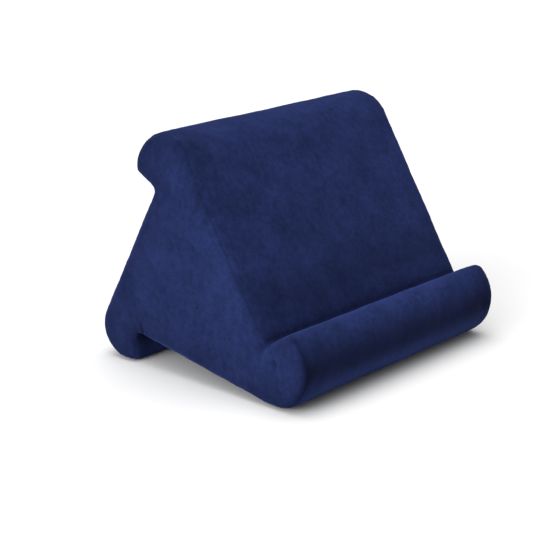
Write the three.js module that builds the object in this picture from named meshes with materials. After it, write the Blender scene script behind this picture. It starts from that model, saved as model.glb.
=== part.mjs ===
// A filled cushion that stands on a table or a lap and holds a book at a reading angle.
//
// Seen from the end it is a wedge with a soft roll at each corner. Three flat sides join the rolls: the
// reading face, the base and the back. Each side leaves one roll as its tangent and ends in a sewn crease
// against the flat ledge of the next roll, so the outline turns like a pinwheel. The book stands on the
// front ledge and leans on the reading face. The cover's long edges are softly rounded into two end panels.
//
// Millimetres and degrees. X runs along the width, Y to the back and Z up. The origin is on the table under
// the middle of the cushion.

import * as THREE from 'three';

// Overall size
const WIDTH = 278;
const DEPTH = 254.8;
const HEIGHT = 222;

// Slopes of the three sides above the table
const FACE_ANGLE = 59.7;
const BACK_ANGLE = 59.4;
const BASE_ANGLE = 10.2;

// The three rolls: how far each one's ledge lies above its centre, and the rounding of the ledge's lip
const FRONT_ROLL = { radius: 39.1, ledge: 17.6, lip: 6.3 };
const REAR_ROLL = { radius: 31.1, ledge: 18.1, lip: 5 };
const TOP_ROLL = { radius: 37.5, ledge: 20.3, lip: 7 };
const TOP_SETBACK = 123.4; // centre of the top roll behind the centre of the front one
const CREASE_RADIUS = 2;
const FLOOR_FLAT = 0.8; // how far the table presses in the two rolls that rest on it

// The sewn edge between the wrap and an end panel, and the end panel's slight swell
const EDGE_RADIUS = 9.5;
const PANEL_CROWN = 0.8;
const PANEL_CROWN_REACH = 6;
const SHARPEST_LIP = 0.8;

// Fineness of the round stretches
const ROLL_STEPS = 20;
const LIP_STEPS = 4;
const CREASE_STEPS = 4;
const EDGE_STEPS = 5;
const PANEL_STEPS = 2;

const VELVET_COLOUR = 0x2b3564;
const VELVET_ROUGHNESS = 0.95;

const radians = THREE.MathUtils.degToRad;
const QUARTER_TURN = Math.PI / 2;

// The rolls in the order in which the outline passes them, anticlockwise as seen from +X. side is the
// direction that leads up the side from the roll's own ledge, which is also the ledge's outward normal.
const rolls = [
  {
    ...FRONT_ROLL,
    centre: new THREE.Vector2(-DEPTH / 2 + FRONT_ROLL.radius, FRONT_ROLL.radius - FLOOR_FLAT),
    side: radians(FACE_ANGLE),
  },
  {
    ...REAR_ROLL,
    centre: new THREE.Vector2(DEPTH / 2 - REAR_ROLL.radius, REAR_ROLL.radius - FLOOR_FLAT),
    side: radians(180 + BASE_ANGLE),
  },
  {
    ...TOP_ROLL,
    centre: new THREE.Vector2(-DEPTH / 2 + FRONT_ROLL.radius + TOP_SETBACK, HEIGHT - TOP_ROLL.radius),
    side: radians(360 - BACK_ANGLE),
  },
];

function direction(angle) {
  return new THREE.Vector2(Math.cos(angle), Math.sin(angle));
}

function arc(centre, radius, from, to, steps) {
  return new THREE.ArcCurve(centre.x, centre.y, radius, from, to, to < from).getPoints(steps);
}

// The fold between a side and the ledge it ends in. The rounding's centre lies in the open, so the fold
// grows rounder as the outline is drawn in.
function crease(roll, previous, inset) {
  const along = direction(roll.side);
  const outward = direction(roll.side + QUARTER_TURN);
  const sideOffset = previous.centre.clone().sub(roll.centre).dot(outward) + previous.radius;
  const centre = roll.centre
    .clone()
    .addScaledVector(along, roll.ledge + CREASE_RADIUS)
    .addScaledVector(outward, sideOffset + CREASE_RADIUS);
  return arc(centre, CREASE_RADIUS + inset, roll.side - QUARTER_TURN, roll.side - Math.PI, CREASE_STEPS);
}

// The ledge's lip, then the round of the roll as far as the next side
function lipAndRound(roll, next, inset) {
  const radius = roll.radius - inset;
  const lip = Math.max(roll.lip - inset, SHARPEST_LIP);
  const lipAlong = roll.ledge - inset - lip;
  const lipOutward = Math.sqrt((radius - lip) ** 2 - lipAlong ** 2);
  const lipCentre = roll.centre
    .clone()
    .addScaledVector(direction(roll.side), lipAlong)
    .addScaledVector(direction(roll.side + QUARTER_TURN), lipOutward);
  const tip = roll.side + Math.atan2(lipOutward, lipAlong);
  let end = next.side + QUARTER_TURN;
  while (end < tip) {
    end += 2 * Math.PI;
  }
  return [
    ...arc(lipCentre, lip, roll.side, tip, LIP_STEPS),
    ...arc(roll.centre, radius, tip, end, ROLL_STEPS).slice(1),
  ];
}

// The whole outline, drawn in by the same distance all round, with a flat where the table presses
function outline(inset) {
  const points = rolls.flatMap((roll, i) => {
    const previous = rolls[(i + rolls.length - 1) % rolls.length];
    const next = rolls[(i + 1) % rolls.length];
    return [...crease(roll, previous, inset), ...lipAndRound(roll, next, inset)];
  });
  points.forEach((point) => {
    point.y = Math.max(point.y, 0);
  });
  return points;
}

// How far the outline is drawn in as it rounds the sewn edge and climbs the swell of the end panel
function endSections() {
  const slope = (2 * PANEL_CROWN) / PANEL_CROWN_REACH;
  const turn = QUARTER_TURN - Math.atan(slope);
  const sections = [];
  for (let step = 0; step <= EDGE_STEPS; step += 1) {
    const angle = (turn * step) / EDGE_STEPS;
    sections.push({ inset: EDGE_RADIUS * (1 - Math.cos(angle)), out: EDGE_RADIUS * Math.sin(angle) });
  }
  const rim = sections[EDGE_STEPS];
  for (let step = 1; step <= PANEL_STEPS; step += 1) {
    const share = step / PANEL_STEPS;
    sections.push({
      inset: rim.inset + PANEL_CROWN_REACH * share,
      out: rim.out + PANEL_CROWN * (1 - (1 - share) ** 2),
    });
  }
  const reach = sections[sections.length - 1].out;
  return sections.map(({ inset, out }) => ({ inset, x: WIDTH / 2 - reach + out }));
}

function filledForm() {
  const right = endSections();
  const left = right.map(({ inset, x }) => ({ inset, x: -x })).reverse();
  const rings = [...left, ...right].map(({ inset, x }) =>
    outline(inset).map((point) => new THREE.Vector3(x, point.x, point.y)),
  );
  const count = rings[0].length;
  const indices = [];
  for (let section = 0; section < rings.length - 1; section += 1) {
    for (let i = 0; i < count; i += 1) {
      const a = section * count + i;
      const b = section * count + ((i + 1) % count);
      indices.push(a, b, b + count, a, b + count, a + count);
    }
  }
  const last = (rings.length - 1) * count;
  const endOutline = rings[0].map(({ y, z }) => new THREE.Vector2(y, z));
  THREE.ShapeUtils.triangulateShape(endOutline, []).forEach(([a, b, c]) => {
    indices.push(a, c, b);
    indices.push(last + a, last + b, last + c);
  });
  const geometry = new THREE.BufferGeometry().setFromPoints(rings.flat());
  geometry.setIndex(indices);
  geometry.computeVertexNormals();
  return geometry;
}

const velvet = new THREE.MeshStandardMaterial({
  color: VELVET_COLOUR,
  roughness: VELVET_ROUGHNESS,
  metalness: 0,
});

const pillow = new THREE.Mesh(filledForm(), velvet);
pillow.name = 'reading_pillow';

const group = new THREE.Group();
group.add(pillow);

export default group;
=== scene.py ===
# A filled velvet reading pillow with a sloping face and a ledge along its foot, in a pale studio.
# Metres, +Z up. The origin is on the floor under the middle of the pillow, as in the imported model.

import math

import bmesh
import bpy
import numpy as np
from mathutils import Matrix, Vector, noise
from mathutils.kdtree import KDTree


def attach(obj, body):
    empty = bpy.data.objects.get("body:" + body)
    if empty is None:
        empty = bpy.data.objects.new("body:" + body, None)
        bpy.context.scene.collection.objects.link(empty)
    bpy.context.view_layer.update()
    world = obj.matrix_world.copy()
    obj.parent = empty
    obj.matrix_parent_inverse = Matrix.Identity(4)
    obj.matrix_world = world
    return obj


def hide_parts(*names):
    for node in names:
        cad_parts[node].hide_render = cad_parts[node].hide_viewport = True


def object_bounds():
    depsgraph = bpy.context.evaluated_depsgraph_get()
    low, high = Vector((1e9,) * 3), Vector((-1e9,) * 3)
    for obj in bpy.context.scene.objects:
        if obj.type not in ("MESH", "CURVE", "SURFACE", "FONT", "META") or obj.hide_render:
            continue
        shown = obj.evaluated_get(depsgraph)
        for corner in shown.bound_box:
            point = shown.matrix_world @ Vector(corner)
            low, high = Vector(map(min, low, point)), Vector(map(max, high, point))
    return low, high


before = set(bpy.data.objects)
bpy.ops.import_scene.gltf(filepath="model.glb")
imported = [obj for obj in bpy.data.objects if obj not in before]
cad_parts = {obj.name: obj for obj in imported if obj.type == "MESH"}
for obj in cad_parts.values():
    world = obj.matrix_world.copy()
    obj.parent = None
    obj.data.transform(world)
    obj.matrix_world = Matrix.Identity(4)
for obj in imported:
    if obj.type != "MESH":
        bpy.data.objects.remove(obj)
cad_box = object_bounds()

# Camera
# A short tele lens that looks slightly down on the pillow, from in front of its left end. Its place, turn and
# focal length are those at which the pillow's outline and proportions come out as in the reference view.
CAMERA_PLACE = (-0.98203, -0.87810, 0.47503)
CAMERA_HEADING = 47.316
CAMERA_PITCH = 17.01
CAMERA_ROLL = -1.0
LENS_MM = 94.95
SENSOR_MM = 36
NEAREST_SEEN = 0.1
FURTHEST_SEEN = 200

camera_data = bpy.data.cameras.new("camera")
camera_data.lens = LENS_MM
camera_data.sensor_width = SENSOR_MM
camera_data.clip_start = NEAREST_SEEN
camera_data.clip_end = FURTHEST_SEEN
camera = bpy.data.objects.new("camera", camera_data)
bpy.context.scene.collection.objects.link(camera)
camera.matrix_world = (
    Matrix.Translation(CAMERA_PLACE)
    @ Matrix.Rotation(math.radians(-CAMERA_HEADING), 4, "Z")
    @ Matrix.Rotation(math.radians(90 - CAMERA_PITCH), 4, "X")
    @ Matrix.Rotation(math.radians(CAMERA_ROLL), 4, "Z")
)
bpy.context.scene.camera = camera


# Studio
# A wide matt pale floor under a soft dome of light. The dome has one broad lamp overhead and one low on the
# left, where the end panel faces, and it glows along the horizon. The floor lies a hair under the pillow.
FLOOR_HALF_WIDTH = 30
FLOOR_DROP = 0.0002
FLOOR_SHADE = 0.61
ZENITH_LIGHT = 5.6
ZENITH_FOCUS = 7
SIDE_LIGHT = 8.4
SIDE_FOCUS = 10
SIDE_DIRECTION = (-0.955, -0.03, 0.29)
HORIZON_LIGHT = 1.1
HORIZON_FOCUS = 12
FILL_LIGHT = 0.16


class Link:
    """One output of a shader node. Arithmetic on links adds Math nodes to the same tree."""

    def __init__(self, tree, socket=None):
        self.tree = tree
        self.socket = socket

    def node(self, kind, settings=None, inputs=None, output=0):
        """Adds a node: first its settings, then the values or links of its sockets, and gives one output."""
        made = self.tree.nodes.new(kind)
        for name, value in (settings or {}).items():
            setattr(made, name, value)
        for name, value in (inputs or {}).items():
            if isinstance(value, Link):
                self.tree.links.new(value.socket, made.inputs[name])
            else:
                made.inputs[name].default_value = value
        return Link(self.tree, made.outputs[output]) if made.outputs else None

    def feed(self, socket):
        self.tree.links.new(self.socket, socket)

    def math(self, operation, *values):
        return self.node("ShaderNodeMath", {"operation": operation}, dict(enumerate(values)))

    def __add__(self, other):
        return self.math("ADD", self, other)

    def __radd__(self, other):
        return self.math("ADD", other, self)

    def __sub__(self, other):
        return self.math("SUBTRACT", self, other)

    def __rsub__(self, other):
        return self.math("SUBTRACT", other, self)

    def __mul__(self, other):
        return self.math("MULTIPLY", self, other)

    def __rmul__(self, other):
        return self.math("MULTIPLY", other, self)

    def __pow__(self, other):
        return self.math("POWER", self, other)


scene = bpy.context.scene
scene.view_settings.view_transform = "Standard"

world = bpy.data.worlds.new("dome")
world.use_nodes = True
world.node_tree.nodes.clear()
dome = Link(world.node_tree)
towards = dome.node("ShaderNodeTexCoord", output="Generated")
upward = dome.node("ShaderNodeSeparateXYZ", inputs={"Vector": towards}, output="Z")
upward = upward.math("MAXIMUM", upward, 0.0)
sideward = dome.node(
    "ShaderNodeVectorMath", {"operation": "DOT_PRODUCT"}, {0: towards, 1: SIDE_DIRECTION}, "Value"
)
sideward = sideward.math("MAXIMUM", sideward, 0.0)
light = (
    FILL_LIGHT
    + ZENITH_LIGHT * upward**ZENITH_FOCUS
    + SIDE_LIGHT * sideward**SIDE_FOCUS
    + HORIZON_LIGHT * (1 - upward) ** HORIZON_FOCUS
)
shine = dome.node("ShaderNodeBackground", inputs={"Color": (1, 1, 1, 1), "Strength": light})
dome.node("ShaderNodeOutputWorld", inputs={"Surface": shine})
scene.world = world

floor_mesh = bpy.data.meshes.new("floor")
shape = bmesh.new()
just_under = Matrix.Translation((0, 0, -FLOOR_DROP))
bmesh.ops.create_grid(shape, x_segments=1, y_segments=1, size=FLOOR_HALF_WIDTH, matrix=just_under)
shape.to_mesh(floor_mesh)
shape.free()
floor = bpy.data.objects.new("floor", floor_mesh)
scene.collection.objects.link(floor)
matt = bpy.data.materials.new("matt_floor")
matt.use_nodes = True
plaster = matt.node_tree.nodes["Principled BSDF"]
plaster.inputs["Base Color"].default_value = (FLOOR_SHADE, FLOOR_SHADE, FLOOR_SHADE, 1)
plaster.inputs["Roughness"].default_value = 1
plaster.inputs["Specular IOR Level"].default_value = 0
floor_mesh.materials.append(matt)

# Pillow cover, form
# One strip of velvet runs round a firm foam filling and is sewn to a shaped panel at each end, with three
# creases stitched in across its width. The filling pushes the velvet out between the stitching, and the spare
# cloth there gathers in small puckers, while the filling keeps the big shape as it was cut.
SAME_PLACE = 1e-5
EDGE_RADIUS = 0.0095
PANEL_CROWN = 0.0005
PANEL_CROWN_REACH = 0.003
LONGEST_ARC_PIECE = 0.012
STRAIGHT_PIECE = 0.004
OUTLINE_PIECE = 0.0012
CREASE_TURN = -0.05
TOP_CREASE_ABOVE = 0.1
SEAM_TURN_ROUND = math.radians(28)
SEAM_TURN_FLAT = math.radians(52)
SEAM_TURN_PASSES = 150
ROUND_BEND = 20
START_INSET = 0.0015
VOXEL = 0.005
STITCH_REACH = 0.0034
PRESSURE = 4
SPARE_CLOTH = 0.005
BLOWN_FRAMES = 20
FURTHEST_TRAVEL = 0.0032
LEAST_TRAVEL = 1e-9
PUCKER_PASSES = 45
PUCKER_GAIN = 0.6
SWELL_GAIN = 0.7
SWELL_PASSES = 30

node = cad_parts["reading_pillow"]
shape = bmesh.new()
shape.from_mesh(node.data)
bmesh.ops.remove_doubles(shape, verts=shape.verts, dist=SAME_PLACE)
shape.normal_update()

edge_start = min(abs(vertex.co.x) for vertex in shape.verts)
ring = {vertex for vertex in shape.verts if abs(vertex.co.x - edge_start) < SAME_PLACE}
walk = [min(ring, key=lambda vertex: vertex.co.y)]
while len(walk) < len(ring):
    beside = [edge.other_vert(walk[-1]) for edge in walk[-1].link_edges]
    walk.append(next(vertex for vertex in beside if vertex in ring and vertex not in walk))
corners = np.array([(vertex.co.y, vertex.co.z) for vertex in walk])
if corners[1][1] > corners[0][1]:
    corners = corners[::-1]


def smooth_outline(corners):
    """A closed smooth curve through the corners, as short pieces. Long straights stay straight."""
    knots = []
    for start, end in zip(corners, np.roll(corners, -1, axis=0)):
        length = np.linalg.norm(end - start)
        pieces = math.ceil(length / STRAIGHT_PIECE) if length > LONGEST_ARC_PIECE else 1
        knots += [start + (end - start) * piece / pieces for piece in range(pieces)]
    knots = np.array(knots)
    steps = np.roll(knots, -1, axis=0) - knots
    lengths = np.linalg.norm(steps, axis=1)[:, None]
    ways = steps / lengths
    ways_before, lengths_before = np.roll(ways, 1, axis=0), np.roll(lengths, 1, axis=0)
    tangents = (ways_before * lengths + ways * lengths_before) / (lengths + lengths_before)
    curve = []
    for i, knot in enumerate(knots):
        after = (i + 1) % len(knots)
        pieces = max(1, round(lengths[i, 0] / OUTLINE_PIECE))
        for t in np.arange(pieces) / pieces:
            curve.append(
                (2 * t**3 - 3 * t**2 + 1) * knot
                + (t**3 - 2 * t**2 + t) * lengths[i] * tangents[i]
                + (3 * t**2 - 2 * t**3) * knots[after]
                + (t**3 - t**2) * lengths[i] * tangents[after]
            )
    return np.array(curve)


def smooth_step(value, low, high):
    share = np.clip((value - low) / (high - low), 0, 1)
    return share * share * (3 - 2 * share)


outline = smooth_outline(corners)
steps = np.roll(outline, -1, axis=0) - outline
step_lengths = np.linalg.norm(steps, axis=1)
along_outline = np.concatenate([[0], np.cumsum(step_lengths)[:-1]])
ways = steps / step_lengths[:, None] + np.roll(steps / step_lengths[:, None], 1, axis=0)
ways /= np.linalg.norm(ways, axis=1)[:, None]
outline_out = np.stack([ways[:, 1], -ways[:, 0]], axis=1)
ways_after = np.roll(ways, -1, axis=0)
turns = ways[:, 0] * ways_after[:, 1] - ways[:, 1] * ways_after[:, 0]
roundness = np.minimum(np.abs(turns) / step_lengths / ROUND_BEND, 1)
for _ in range(SEAM_TURN_PASSES):
    roundness = (np.roll(roundness, 1) + roundness + np.roll(roundness, -1)) / 3
hollow = outline[turns < CREASE_TURN]
is_front = hollow[:, 0] < 0
is_top = hollow[:, 1] > TOP_CREASE_ABOVE
front_crease = hollow[is_front].mean(axis=0)
rear_crease = hollow[~is_front & ~is_top].mean(axis=0)
top_crease = hollow[is_top].mean(axis=0)
creases = (front_crease, rear_crease, top_crease)
feet = KDTree(len(outline))
for i, (y, z) in enumerate(outline):
    feet.insert((0, y, z), i)
feet.balance()


def bell(value, width, centre=0):
    """1 where the value is at the centre, and falling off softly to both sides."""
    return np.exp(-(((value - centre) / width) ** 2))


def place_on_outline(points):
    """For points (y, z): how deep each lies inside the outline and, at the outline's nearest place, the
    outward way, the length along the outline and how round the outline is."""
    nearest = np.array([feet.find((0, y, z))[1] for y, z in points])
    gap = np.full(len(points), np.inf)
    foot = np.zeros(len(points), int)
    share = np.zeros(len(points))
    for start in ((nearest - 1) % len(outline), nearest):
        reach = points - outline[start]
        part = np.clip((reach * steps[start]).sum(axis=1) / step_lengths[start] ** 2, 0, 1)
        off = np.linalg.norm(reach - part[:, None] * steps[start], axis=1)
        nearer = off < gap
        gap[nearer] = off[nearer]
        foot[nearer] = start[nearer]
        share[nearer] = part[nearer]
    after = (foot + 1) % len(outline)
    part = share[:, None]
    outward = outline_out[foot] * (1 - part) + outline_out[after] * part
    outward /= np.linalg.norm(outward, axis=1)[:, None]
    reach = points - outline[foot] - part * steps[foot]
    deep = np.where((reach * outward).sum(axis=1) > 0, -gap, gap)
    along = along_outline[foot] + share * step_lengths[foot]
    rounded = roundness[foot] * (1 - share) + roundness[after] * share
    return deep, outward, along, rounded


def place_on_form(points):
    """For points (x, y, z): how far each stands out of the smooth form, the form's outward way there and
    the distance past the nearer seam, below zero on the strip and above it on the end panel."""
    deep, outward, _, rounded = place_on_outline(points[:, 1:])
    end = np.sign(points[:, 0])
    beyond = np.abs(points[:, 0]) - edge_start
    turn = np.clip(np.arctan2(np.maximum(beyond, 0), EDGE_RADIUS - deep), 0, math.pi / 2)
    on_panel = deep > EDGE_RADIUS
    turn[on_panel] = math.pi / 2
    crown = PANEL_CROWN * (1 - np.exp(-np.maximum(deep - EDGE_RADIUS, 0) / PANEL_CROWN_REACH))
    height = np.hypot(beyond, EDGE_RADIUS - deep) - EDGE_RADIUS
    height = np.where(beyond < 0, -deep, np.where(on_panel, beyond - EDGE_RADIUS - crown, height))
    sine, cosine = np.sin(turn)[:, None], np.cos(turn)[:, None]
    out = np.hstack([end[:, None] * sine, outward * cosine])
    on_edge = EDGE_RADIUS * turn + np.maximum(deep - EDGE_RADIUS, 0)
    seam_turn = SEAM_TURN_FLAT + (SEAM_TURN_ROUND - SEAM_TURN_FLAT) * rounded
    across = np.where(beyond < 0, beyond, on_edge) - EDGE_RADIUS * seam_turn
    return height, out, across


def gap_to_crease(points):
    return np.min([np.linalg.norm(points[:, 1:] - crease, axis=1) for crease in creases], axis=0)


def read_points(mesh):
    flat = np.empty(len(mesh.vertices) * 3, np.float32)
    mesh.vertices.foreach_get("co", flat)
    return flat.reshape(-1, 3).astype(float)


def write_points(mesh, points):
    mesh.vertices.foreach_set("co", points.astype(np.float32).ravel())


def evened(values, mesh, passes):
    """The values, averaged with those of the neighbouring points, again and again."""
    ends = np.empty(len(mesh.edges) * 2, np.int32)
    mesh.edges.foreach_get("vertices", ends)
    first, second = ends.reshape(-1, 2).T
    count = len(values)
    shares = 1 + np.bincount(first, minlength=count) + np.bincount(second, minlength=count)
    for _ in range(passes):
        total = np.bincount(first, values[second], count) + np.bincount(second, values[first], count)
        values = (values + total) / shares
    return values


def baked(piece, name):
    """The piece's mesh as its modifiers leave it. The modifiers are taken off."""
    depsgraph = bpy.context.evaluated_depsgraph_get()
    mesh = bpy.data.meshes.new_from_object(piece.evaluated_get(depsgraph))
    mesh.name = name
    piece.modifiers.clear()
    piece.data = mesh
    return mesh


for vertex in shape.verts:
    vertex.co -= vertex.normal * START_INSET
mesh = bpy.data.meshes.new("start")
shape.to_mesh(mesh)
shape.free()
pillow = bpy.data.objects.new("velvet_pillow", mesh)
scene.collection.objects.link(pillow)
remesh = pillow.modifiers.new("remesh", "REMESH")
remesh.mode = "VOXEL"
remesh.voxel_size = VOXEL
mesh = baked(pillow, "remeshed")

start = read_points(mesh)
across = place_on_form(start)[2]
held = (np.abs(across) < STITCH_REACH) | (gap_to_crease(start) < STITCH_REACH + START_INSET)
stitching = pillow.vertex_groups.new(name="stitching")
stitching.add(np.flatnonzero(held).tolist(), 1, "REPLACE")
cloth = pillow.modifiers.new("cloth", "CLOTH")
cloth.settings.use_pressure = True
cloth.settings.uniform_pressure_force = PRESSURE
cloth.settings.effector_weights.gravity = 0
cloth.settings.vertex_group_mass = "stitching"
cloth.settings.shrink_min = -SPARE_CLOTH
cloth.point_cache.frame_start = 1
cloth.point_cache.frame_end = BLOWN_FRAMES
for moment in range(1, BLOWN_FRAMES + 1):
    scene.frame_set(moment)
mesh = baked(pillow, "blown")
pillow.vertex_groups.clear()
travel = read_points(mesh) - start
length = np.maximum(np.linalg.norm(travel, axis=1, keepdims=True), LEAST_TRAVEL)
travel *= FURTHEST_TRAVEL * np.tanh(length / FURTHEST_TRAVEL) / length
write_points(mesh, start + travel)
scene.frame_set(1)

subdivision = pillow.modifiers.new("subdivision", "SUBSURF")
subdivision.levels = 1
subdivision.render_levels = 1
mesh = baked(pillow, "smoothed")

points = read_points(mesh)
height = place_on_form(points)[0]
broad = evened(height, mesh, PUCKER_PASSES)
swell = evened(SWELL_GAIN * np.maximum(broad, 0), mesh, SWELL_PASSES)
lift = swell + PUCKER_GAIN * (height - broad)

# Pillow cover, stitching and folds
# The seams are turned in, so each shows as a narrow groove with a full edge on both sides, a little gathered.
# Where a crease runs out over an end panel, the panel folds in beside it. The filling is slightly lumpy, the
# front roll's end has a small dimple, and the left panel a tiny nick in its pile.
FINE_REACHES = (0.006, 0.0024)
CREASE_FINE_REACH = 0.006
SEAM_DEPTH = 0.00035
ROLL_SEAM_DEPTH = 0.0008
SEAM_WIDTH = 0.0011
SEAM_DRAW = 0.0004
SEAM_DRAW_REACH = 0.003
SEAM_FADE = 0.95
SEAM_FADE_REACH = 0.032
SEAM_UNEVEN = 0.4
SEAM_UNEVEN_PITCH = (0.03, 0.03, 0.3)
GATHER_DEPTH = 0.00025
GATHER_REACH = 0.006
GATHER_PITCH = (0.006, 0.02, 0.3)
CREASE_DEPTH = 0.0018
CREASE_WIDTH = 0.003
LUMPS = ((0.032, 0.0004), (0.012, 0.00012))
FRONT_FOLD = ((-0.0835, 0.0580), (-0.0800, 0.0520), (-0.0780, 0.0455), (-0.0785, 0.0380), (-0.0810, 0.0320))
FRONT_FOLD_DEPTH = 0.0034
FRONT_FOLD_WIDTH = 0.0030
ROLL_RIM = ((-0.0965, 0.0615), (-0.0885, 0.0560), (-0.0842, 0.0500), (-0.0832, 0.0455), (-0.0840, 0.0380))
ROLL_RIM_RISE = 0.0016
ROLL_RIM_WIDTH = 0.0028
ROLL_DIMPLE = ((-0.0946, 0.0423), (-0.0950, 0.0320))
ROLL_DIMPLE_DEPTH = 0.0017
ROLL_DIMPLE_WIDTH = 0.0030
REAR_FOLD = ((0.0700, 0.0330), (0.0695, 0.0380), (0.0699, 0.0450))
REAR_FOLD_DEPTH = 0.002
REAR_FOLD_WIDTH = 0.0013
PANEL_NICK = ((-0.0045, 0.0725), (-0.0085, 0.0772))
PANEL_NICK_DEPTH = 0.0009
PANEL_NICK_WIDTH = 0.0008
FOLDS_START = (0, 0.004)
FAR_END_SHARE = 0.7
FRONT_ROLL_RADIUS = 0.0391
FRONT_ROLL_FADE = (0.045, 0.055)


def wander(places, pitches):
    """Smooth noise at each place, from about -1 to 1, with one pitch or one for each axis."""
    return np.array([noise.noise(place) for place in (places / np.array(pitches)).tolist()])


def gap_between(places, centre):
    return np.linalg.norm(places - centre, axis=1)


def run_and_gap(places, path):
    """For places (y, z): how far along a path each one's nearest point lies, how far off the path it is, and
    the path's length."""
    path = np.array(path)
    runs = np.concatenate([[0], np.cumsum(np.linalg.norm(np.diff(path, axis=0), axis=1))])
    gap = np.full(len(places), np.inf)
    run = np.zeros(len(places))
    for i, (start, end) in enumerate(zip(path, path[1:])):
        step = end - start
        share = np.clip((places - start) @ step / (step @ step), 0, 1)
        off = gap_between(places, start + share[:, None] * step)
        nearer = off < gap
        gap[nearer] = off[nearer]
        run[nearer] = (runs[i] + share * (runs[i + 1] - runs[i]))[nearer]
    return run, gap, runs[-1]


def trough(places, path, width):
    """A soft trough along a path over an end panel, 1 at the path's start and 0 at its end."""
    run, gap, length = run_and_gap(places, path)
    return (1 - smooth_step(run, 0, length)) * bell(gap, width)


shape = bmesh.new()
shape.from_mesh(mesh)
lifts = shape.verts.layers.float.new("lift")
for vertex, value in zip(shape.verts, lift):
    vertex[lifts] = value
for reach in FINE_REACHES:
    shape.verts.index_update()
    points = np.array([vertex.co for vertex in shape.verts])
    across = place_on_form(points)[2]
    near = np.abs(across) < reach
    if reach == max(FINE_REACHES):
        near |= gap_to_crease(points) < CREASE_FINE_REACH
    for path in (FRONT_FOLD, ROLL_RIM, ROLL_DIMPLE, REAR_FOLD, PANEL_NICK):
        near |= (across > 0) & (run_and_gap(points[:, 1:], path)[1] < reach)
    close = {vertex for vertex, is_near in zip(shape.verts, near) if is_near}
    fine = [face for face in shape.faces if all(vertex in close for vertex in face.verts)]
    edges = list({edge for face in fine for edge in face.edges})
    bmesh.ops.subdivide_edges(shape, edges=edges, cuts=1, use_grid_fill=True)
many_sided = [face for face in shape.faces if len(face.verts) > 4]
bmesh.ops.triangulate(shape, faces=many_sided, quad_method="BEAUTY", ngon_method="BEAUTY")
shape.verts.index_update()
lift = np.array([vertex[lifts] for vertex in shape.verts])
shape.verts.layers.float.remove(lifts)
mesh = bpy.data.meshes.new("velvet_pillow")
shape.to_mesh(mesh)
shape.free()
pillow.data = mesh

points = read_points(mesh)
height, out, across = place_on_form(points)
from_end = points[:, 1:]
deep, outward, along, rounded = place_on_outline(from_end)
end = np.sign(points[:, 0])
by_seam = np.stack([along, across, end], axis=1)
crease_gap = gap_to_crease(points)
roll_centre = np.array([cad_box[0][1] + FRONT_ROLL_RADIUS, FRONT_ROLL_RADIUS])
at_front_roll = 1 - smooth_step(gap_between(from_end, roll_centre), *FRONT_ROLL_FADE)

tight = 1 - SEAM_FADE * bell(crease_gap, SEAM_FADE_REACH)
groove = tight * bell(across, SEAM_WIDTH) * (1 + SEAM_UNEVEN * wander(by_seam, SEAM_UNEVEN_PITCH))
seam_depth = SEAM_DEPTH + (ROLL_SEAM_DEPTH - SEAM_DEPTH) * at_front_roll
lift -= seam_depth * groove + SEAM_DRAW * tight * bell(across, SEAM_DRAW_REACH)
lift += GATHER_DEPTH * wander(by_seam, GATHER_PITCH) * bell(across, GATHER_REACH)
lift -= CREASE_DEPTH * bell(crease_gap, CREASE_WIDTH)
for pitch, rise in LUMPS:
    lift += rise * wander(points, pitch)

on_panel = smooth_step(across, *FOLDS_START) * np.where(end < 0, 1, FAR_END_SHARE)
dimple = on_panel * trough(from_end, ROLL_DIMPLE, ROLL_DIMPLE_WIDTH)
nick = (end < 0) * on_panel * trough(from_end, PANEL_NICK, PANEL_NICK_WIDTH)
lift -= FRONT_FOLD_DEPTH * on_panel * trough(from_end, FRONT_FOLD, FRONT_FOLD_WIDTH)
lift += ROLL_RIM_RISE * on_panel * trough(from_end, ROLL_RIM, ROLL_RIM_WIDTH)
lift -= REAR_FOLD_DEPTH * on_panel * trough(from_end, REAR_FOLD, REAR_FOLD_WIDTH)
lift -= ROLL_DIMPLE_DEPTH * dimple + PANEL_NICK_DEPTH * nick
points += out * (lift - height)[:, None]
points[:, 2] = np.maximum(points[:, 2], 0)
write_points(mesh, points)
for polygon in mesh.polygons:
    polygon.use_smooth = True

# Pillow cover, velvet
# A short dense pile of dyed polyester, softly mottled at random. Light and shade are also painted into its
# colour: painted shade in the creases, in the seam grooves, on the belly of the front roll and towards the
# panels' edges, and painted light on the roll's top and foot, in the hollow under the base and on parts of
# the end panels.
DEEP_PILE = (0.0048, 0.0083, 0.0328, 1)
FULL_PILE = (0.0117, 0.0195, 0.0735, 1)
SHEEN_TINT = (0.105, 0.158, 0.56, 1)
SHEEN = 0.175
SHEEN_ROUGHNESS = 0.5
GLOSS = 0.04

# The front roll, with painted shade on its belly and towards its far end and painted light on its top band
# and foot, with facings in degrees above the way to the reader
FRONT_ROLL_PAINTED_LIGHT = 1.16
FRONT_ROLL_EDGE = (0.002, 0.006)
BELLY_SHADE = 0.70
BELLY_FACING = -4
BELLY_SPREAD_UP = 29
BELLY_SPREAD_DOWN = 19
FAR_BELLY_SHADE = 0.16
FAR_BELLY = (0.075, 0.095)
FAR_END_SHADE = 0.35
FAR_END = (0.105, 0.130)
FAR_END_FACING = 18
FAR_END_SPREAD = 30
TOP_BAND_SHINE = 0.12
TOP_BAND_SHADE = 0.17
TOP_BAND_FACING = 50
TOP_BAND_SPREAD = 18
TOP_BAND_SIDES = (0.06, 0.085)
TOP_BAND_LEFT_END = (-0.115, -0.105)
FOOT_SHINE = 0.25
FOOT_FACING = -38
FOOT_SPREAD = 11

# The top roll, with painted shade at its near corner and along its ridge
TOP_ROLL_FROM = (0.165, 0.185)
TOP_CORNER_SHADE = 0.3
TOP_CORNER_FACING = 47
TOP_CORNER_SPREAD = 13
TOP_CORNER = (0.095, 0.115)
RIDGE_SHADE = 0.26
RIDGE_FACING = 90
RIDGE_SPREAD = 14
RIDGE_END_SHARE = 0.5
RIDGE_END = (0.07, 0.105)
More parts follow.
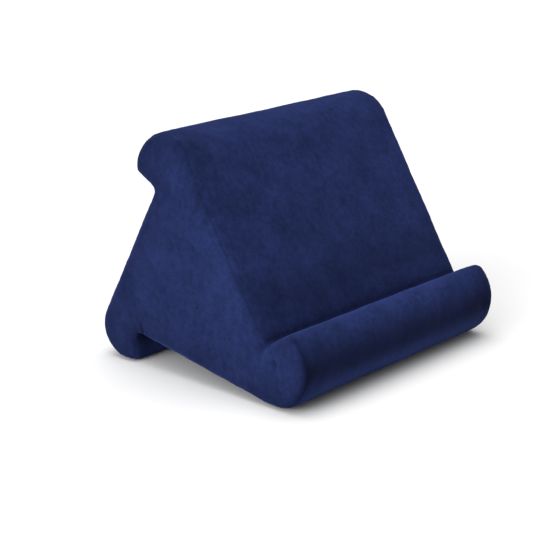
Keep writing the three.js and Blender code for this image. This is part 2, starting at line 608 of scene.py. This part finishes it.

# Painted shade in the creases and at the foot of the reading face, and painted light in the hollow under the
# base
CREASE_SHADE = 0.5
CREASE_SHADE_REACH = 0.007
REAR_CREASE_SHADE = 0.65
REAR_CREASE_REACH = 0.010
FACE_OUT = np.array([-0.863, 0.505])
FACE_FLAT = (0.9, 0.98)
FACE_FOOT_SHADE = 0.34
FACE_FOOT_REACH = 0.026
FACE_FOOT_GAP = 0.028
FACE_SIDE_BLUR = 0.002
HOLLOW_SHINE = 0.8
BASE_FLAT = (0.9, 0.98)
BASE_FROM = (0, 0.02)
INNER_FOOT_FLAT = (0.6, 0.9)
INNER_FOOT_FROM = (0.05, 0.06)
INNER_FOOT_TOP = (0.02, 0.03)
INNER_FOOT_SIDES = (0.108, 0.126)

# Painted shade in the seam grooves, beside the seams on the strip and the end panels, along the panels' rims,
# edges and rear, and in the nick and the dimple, and painted light at the neck and beside the reading face
STRIP_EDGE = (-0.001, 0.001)
SEAM_SHADE = 0.25
ROLL_SEAM_SHADE = 0.4
ROLL_SEAM_REACH = 0.0045
BESIDE_SEAM_SHADE = 0.18
BESIDE_SEAM_REACH = 0.014
BESIDE_SEAM_PLACE = -0.012
PANEL_EDGE_SHADE = 0.25
PANEL_EDGE_REACH = 0.028
PANEL_EDGE_BACKWARD = (-0.2, 0.5)
PANEL_RIM_SHADE = 0.2
TOP_RIM_SHADE = 0.42
PANEL_RIM_REACH = 0.014
PANEL_RIM_UPWARD = (0.3, 0.8)
PANEL_REAR_SHADE = 0.17
PANEL_REAR_FROM = (0.06, 0.095)
PANEL_REAR_TOP = (0.10, 0.14)
NECK = np.array([0.040, 0.160])
NECK_SHINE = 0.2
NECK_REACH = 0.018
NICK_SHADE = 0.6
DIMPLE_SHADE = 0.4
BESIDE_FACE_SHINE = 0.16
BESIDE_FACE_REACH = 0.014
BESIDE_FACE_DEPTH = 0.016
BESIDE_FACE_FORWARD = (0.6, 0.95)
BESIDE_FACE_FROM = (0.05, 0.10)
BESIDE_FACE_TOP = (0.15, 0.175)

# The mottling, with scales in lumps of noise a metre, and the share of each noise in the tone and the relief
STREAKS = {"Scale": 130.0, "Detail": 2.0, "Roughness": 0.5}
PATCHES = {"Scale": 34.0, "Detail": 2.0, "Roughness": 0.55}
FLECKS = {"Scale": 190.0, "Detail": 2.0, "Roughness": 0.6}
FIBRES = {"Scale": 900.0, "Detail": 2.0, "Roughness": 0.7}
TUFTS = {"Scale": 2600.0, "Detail": 1.0, "Roughness": 0.6}
BRUSHED_UPWARD = (1, 1, 0.3)
MIDDLE_TONE = 0.5
STREAK_TONE = 0.5
PATCH_TONE = 1.15
FLECK_TONE = 1.25
FIBRE_TONE = 1.2
TUFT_TONE = 0.6
FLECK_RELIEF = 0.6
FIBRE_RELIEF = 0.5
TUFT_RELIEF = 0.35
RELIEF_STRENGTH = 0.5
RELIEF_DEPTH = 0.0006
SMOOTHEST = 0.84
FLECK_ROUGHNESS = 0.16

x, y, z = points.T
strip = 1 - smooth_step(across, *STRIP_EDGE)
panel = 1 - strip

from_roll = from_end - roll_centre
facing = np.degrees(np.arctan2(from_roll[:, 1], -from_roll[:, 0]))
beyond_roll = np.linalg.norm(from_roll, axis=1) - FRONT_ROLL_RADIUS
on_front_roll = strip * (1 - smooth_step(beyond_roll, *FRONT_ROLL_EDGE))
belly_spread = np.where(facing > BELLY_FACING, BELLY_SPREAD_UP, BELLY_SPREAD_DOWN)
belly_shade = BELLY_SHADE + FAR_BELLY_SHADE * smooth_step(x, *FAR_BELLY)
far_end = smooth_step(x, *FAR_END) * bell(facing, FAR_END_SPREAD, FAR_END_FACING)
sideways = smooth_step(np.abs(x), *TOP_BAND_SIDES)
top_band = TOP_BAND_SHINE * (1 - sideways)
top_band -= TOP_BAND_SHADE * sideways * smooth_step(x, *TOP_BAND_LEFT_END)
# Painted shade on the front roll's belly and far end, and painted light over the rest of it, on its top band
# and at its foot.
front_roll_painted_shading = FRONT_ROLL_PAINTED_LIGHT * (1 - belly_shade * bell(facing, belly_spread, BELLY_FACING))
front_roll_painted_shading *= 1 - FAR_END_SHADE * far_end
front_roll_painted_shading *= 1 + top_band * bell(facing, TOP_BAND_SPREAD, TOP_BAND_FACING)
front_roll_painted_shading *= 1 + FOOT_SHINE * bell(facing, FOOT_SPREAD, FOOT_FACING)
painted_shading = 1 + on_front_roll * (front_roll_painted_shading - 1)

facing = np.degrees(np.arctan2(outward[:, 1], -outward[:, 0]))
upper = smooth_step(z, *TOP_ROLL_FROM)
corner = smooth_step(-x, *TOP_CORNER) * bell(facing, TOP_CORNER_SPREAD, TOP_CORNER_FACING)
ridge_shade = RIDGE_SHADE * (1 - RIDGE_END_SHARE * smooth_step(np.abs(x), *RIDGE_END))
# Painted shade at the top roll's near corner and along its ridge.
painted_shading *= 1 - TOP_CORNER_SHADE * strip * upper * corner
painted_shading *= 1 - ridge_shade * strip * upper * bell(facing, RIDGE_SPREAD, RIDGE_FACING)

face_like = (outward * FACE_OUT).sum(axis=1)
behind_crease = y - front_crease[0]
face_foot = strip * smooth_step(behind_crease, -FACE_SIDE_BLUR, FACE_SIDE_BLUR)
face_foot *= smooth_step(face_like, *FACE_FLAT)
face_foot *= bell(gap_between(from_end, front_crease), FACE_FOOT_REACH, FACE_FOOT_GAP)
under_base = smooth_step(-outward[:, 1], *BASE_FLAT) * smooth_step(y, *BASE_FROM)
inner_foot = smooth_step(-outward[:, 0], *INNER_FOOT_FLAT) * smooth_step(y, *INNER_FOOT_FROM)
inner_foot *= 1 - smooth_step(z, *INNER_FOOT_TOP)
inner_foot *= 1 - smooth_step(np.abs(x), *INNER_FOOT_SIDES)
# Painted shade in the creases and at the foot of the reading face, and painted light in the hollow under the
# base.
painted_shading *= 1 - CREASE_SHADE * strip * bell(crease_gap, CREASE_SHADE_REACH)
painted_shading *= 1 - REAR_CREASE_SHADE * strip * bell(gap_between(from_end, rear_crease), REAR_CREASE_REACH)
painted_shading *= 1 - FACE_FOOT_SHADE * face_foot
painted_shading *= 1 + HOLLOW_SHINE * strip * (under_base + inner_foot)

rim_shade = PANEL_RIM_SHADE * (1 - smooth_step(outward[:, 1], *PANEL_RIM_UPWARD))
rim_shade += (TOP_RIM_SHADE - rim_shade) * upper
panel_rear = smooth_step(y, *PANEL_REAR_FROM) * (1 - smooth_step(z, *PANEL_REAR_TOP))
panel_edge = smooth_step(-face_like, *PANEL_EDGE_BACKWARD) * bell(deep, PANEL_EDGE_REACH)
beside_face = smooth_step(face_like, *BESIDE_FACE_FORWARD) * smooth_step(z, *BESIDE_FACE_FROM)
beside_face *= 1 - smooth_step(z, *BESIDE_FACE_TOP)
beside_face *= bell(deep, BESIDE_FACE_REACH, BESIDE_FACE_DEPTH)
# Painted shade beside the seams, along the end panels' rims, edges and rear, and in the nick and the dimple;
# painted light at the neck and beside the reading face.
painted_shading *= 1 - ROLL_SEAM_SHADE * at_front_roll * rounded * bell(across, ROLL_SEAM_REACH)
painted_shading *= 1 - BESIDE_SEAM_SHADE * rounded * strip * bell(across, BESIDE_SEAM_REACH, BESIDE_SEAM_PLACE)
painted_shading *= 1 - rim_shade * panel * rounded * bell(deep, PANEL_RIM_REACH)
painted_shading *= 1 - PANEL_EDGE_SHADE * panel * panel_edge
painted_shading *= 1 - PANEL_REAR_SHADE * panel * panel_rear
painted_shading *= 1 + NECK_SHINE * panel * bell(gap_between(from_end, NECK), NECK_REACH)
painted_shading *= 1 + BESIDE_FACE_SHINE * panel * beside_face
painted_shading *= 1 - NICK_SHADE * nick
painted_shading *= 1 - DIMPLE_SHADE * dimple
# The painted light and shade, and the seam grooves, are kept on the points as attributes for the shader.
for name, values in (("painted_shading", painted_shading), ("seam", np.clip(groove, 0, 1))):
    mesh.attributes.new(name, "FLOAT", "POINT").data.foreach_set("value", values.astype(np.float32))

velvet = bpy.data.materials.new("navy_velvet")
velvet.use_nodes = True
shader = velvet.node_tree.nodes["Principled BSDF"]
tree = Link(velvet.node_tree)
place = tree.node("ShaderNodeTexCoord", output="Object")
brushed = tree.node("ShaderNodeMapping", inputs={"Vector": place, "Scale": BRUSHED_UPWARD})
streak = tree.node("ShaderNodeTexNoise", inputs={"Vector": brushed, **STREAKS})
patch = tree.node("ShaderNodeTexNoise", inputs={"Vector": place, **PATCHES})
fleck = tree.node("ShaderNodeTexNoise", inputs={"Vector": place, **FLECKS})
fibre = tree.node("ShaderNodeTexNoise", inputs={"Vector": place, **FIBRES})
tuft = tree.node("ShaderNodeTexNoise", inputs={"Vector": place, **TUFTS})
seam = tree.node("ShaderNodeAttribute", {"attribute_name": "seam"}, output="Fac")
painted_shading_in = tree.node("ShaderNodeAttribute", {"attribute_name": "painted_shading"}, output="Fac")
fullness = (
    MIDDLE_TONE
    + (patch - MIDDLE_TONE) * PATCH_TONE
    + (streak - MIDDLE_TONE) * STREAK_TONE
    + (fleck - MIDDLE_TONE) * FLECK_TONE
    + (fibre - MIDDLE_TONE) * FIBRE_TONE
    + (tuft - MIDDLE_TONE) * TUFT_TONE
)
pile = tree.node(
    "ShaderNodeMix",
    {"data_type": "RGBA"},
    {"Factor": fullness, "A": DEEP_PILE, "B": FULL_PILE},
    "Result",
)
# Painted light and shade: the pile's colour is scaled by the painted shading and darkened by painted shade in
# the seam grooves.
shade = painted_shading_in * (1 - seam * SEAM_SHADE)
pile = tree.node("ShaderNodeVectorMath", {"operation": "SCALE"}, {"Vector": pile, "Scale": shade})
relief = tree.node(
    "ShaderNodeBump",
    inputs={
        "Strength": RELIEF_STRENGTH,
        "Distance": RELIEF_DEPTH,
        "Height": fleck * FLECK_RELIEF + fibre * FIBRE_RELIEF + tuft * TUFT_RELIEF,
    },
    output="Normal",
)
roughness = SMOOTHEST + fleck * FLECK_ROUGHNESS
pile.feed(shader.inputs["Base Color"])
roughness.feed(shader.inputs["Roughness"])
relief.feed(shader.inputs["Normal"])
shader.inputs["Specular IOR Level"].default_value = GLOSS
shader.inputs["Sheen Weight"].default_value = SHEEN
shader.inputs["Sheen Roughness"].default_value = SHEEN_ROUGHNESS
shader.inputs["Sheen Tint"].default_value = SHEEN_TINT
mesh.materials.clear()
mesh.materials.append(velvet)
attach(pillow, "root")
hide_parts("reading_pillow")
